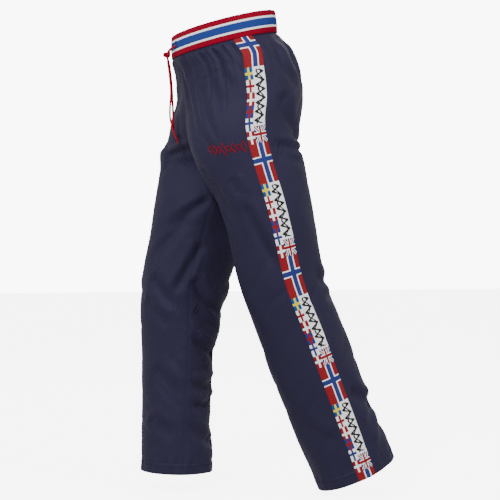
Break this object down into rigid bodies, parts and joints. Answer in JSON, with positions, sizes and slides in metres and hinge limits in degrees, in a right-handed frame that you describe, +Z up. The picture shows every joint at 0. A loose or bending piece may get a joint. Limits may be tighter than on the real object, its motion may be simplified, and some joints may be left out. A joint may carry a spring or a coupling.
{
  "type": "tracksuit trousers",
  "caption": "Full-length sports trousers in a walking pose, with a striped rib waistband, drawcord, taped outseams and plain hems.",
  "frame": {"origin": "centre of the waist opening, at the waistband's top edge", "axes": "+Z up, the front towards -Y, the wearer's left towards +X"},
  "size_m": [0.3784, 0.508, 1.0308],
  "materials": {
    "leg_cloth": "navy knitted tricot with a soft sheen",
    "waist_rib": "blue, red and white striped rib knit",
    "elastic": "white woven elastic",
    "drawcord": "red braided cord",
    "buttonhole_thread": "blue thread",
    "side_tape": "woven tape in red, white and blue",
    "embroidery_thread": "red satin stitch"
  },
  "bodies": {
    "waist_and_seat": {"waistband_rib": "waist_rib", "waist_elastic": "elastic", "drawcord_in_waistband": "drawcord", "buttonhole_stitching": "buttonhole_thread", "drawcord_left_lead": "drawcord", "drawcord_right_lead": "drawcord", "drawcord_knot": "drawcord", "drawcord_left_tail": "drawcord", "drawcord_right_tail": "drawcord", "drawcord_tips": "drawcord", "left_front_seat": "leg_cloth", "left_back_seat": "leg_cloth", "left_tape_seat": "side_tape", "right_front_seat": "leg_cloth", "right_back_seat": "leg_cloth", "right_tape_seat": "side_tape"},
    "left_thigh": {"left_front_hip_fold": "leg_cloth", "left_back_hip_fold": "leg_cloth", "left_tape_hip_fold": "side_tape", "left_front_thigh": "leg_cloth", "left_back_thigh": "leg_cloth", "left_tape_thigh": "side_tape", "thigh_embroidery": "embroidery_thread"},
    "left_shin": {"left_front_knee_fold": "leg_cloth", "left_back_knee_fold": "leg_cloth", "left_tape_knee_fold": "side_tape", "left_front_shin": "leg_cloth", "left_back_shin": "leg_cloth", "left_tape_shin": "side_tape", "left_hem": "leg_cloth"},
    "right_thigh": {"right_front_hip_fold": "leg_cloth", "right_back_hip_fold": "leg_cloth", "right_tape_hip_fold": "side_tape", "right_front_thigh": "leg_cloth", "right_back_thigh": "leg_cloth", "right_tape_thigh": "side_tape"},
    "right_shin": {"right_front_knee_fold": "leg_cloth", "right_back_knee_fold": "leg_cloth", "right_tape_knee_fold": "side_tape", "right_front_shin": "leg_cloth", "right_back_shin": "leg_cloth", "right_tape_shin": "side_tape", "right_hem": "leg_cloth"}
  },
  "joints": [
    {"name": "left_hip", "type": "hinge", "parent": "waist_and_seat", "child": "left_thigh", "pos_m": [0.098, 0.005, -0.2], "axis": [1, 0, 0], "range_deg": [-104, 10], "deforming": ["left_front_hip_fold", "left_back_hip_fold", "left_tape_hip_fold", "thigh_embroidery"]},
    {"name": "left_knee", "type": "hinge", "parent": "left_thigh", "child": "left_shin", "pos_m": [0.098, 0.13221, -0.54411], "axis": [1, 0, 0], "range_deg": [-7.5, 102.5], "deforming": ["left_front_knee_fold", "left_back_knee_fold", "left_tape_knee_fold"]},
    {"name": "right_hip", "type": "hinge", "parent": "waist_and_seat", "child": "right_thigh", "pos_m": [-0.098, 0.005, -0.2], "axis": [1, 0, 0], "range_deg": [-77, 37], "deforming": ["right_front_hip_fold", "right_back_hip_fold", "right_tape_hip_fold"]},
    {"name": "right_knee", "type": "hinge", "parent": "right_thigh", "child": "right_shin", "pos_m": [-0.098, -0.03788, -0.56436], "axis": [1, 0, 0], "range_deg": [-11, 99], "deforming": ["right_front_knee_fold", "right_back_knee_fold", "right_tape_knee_fold"]}
  ]
}
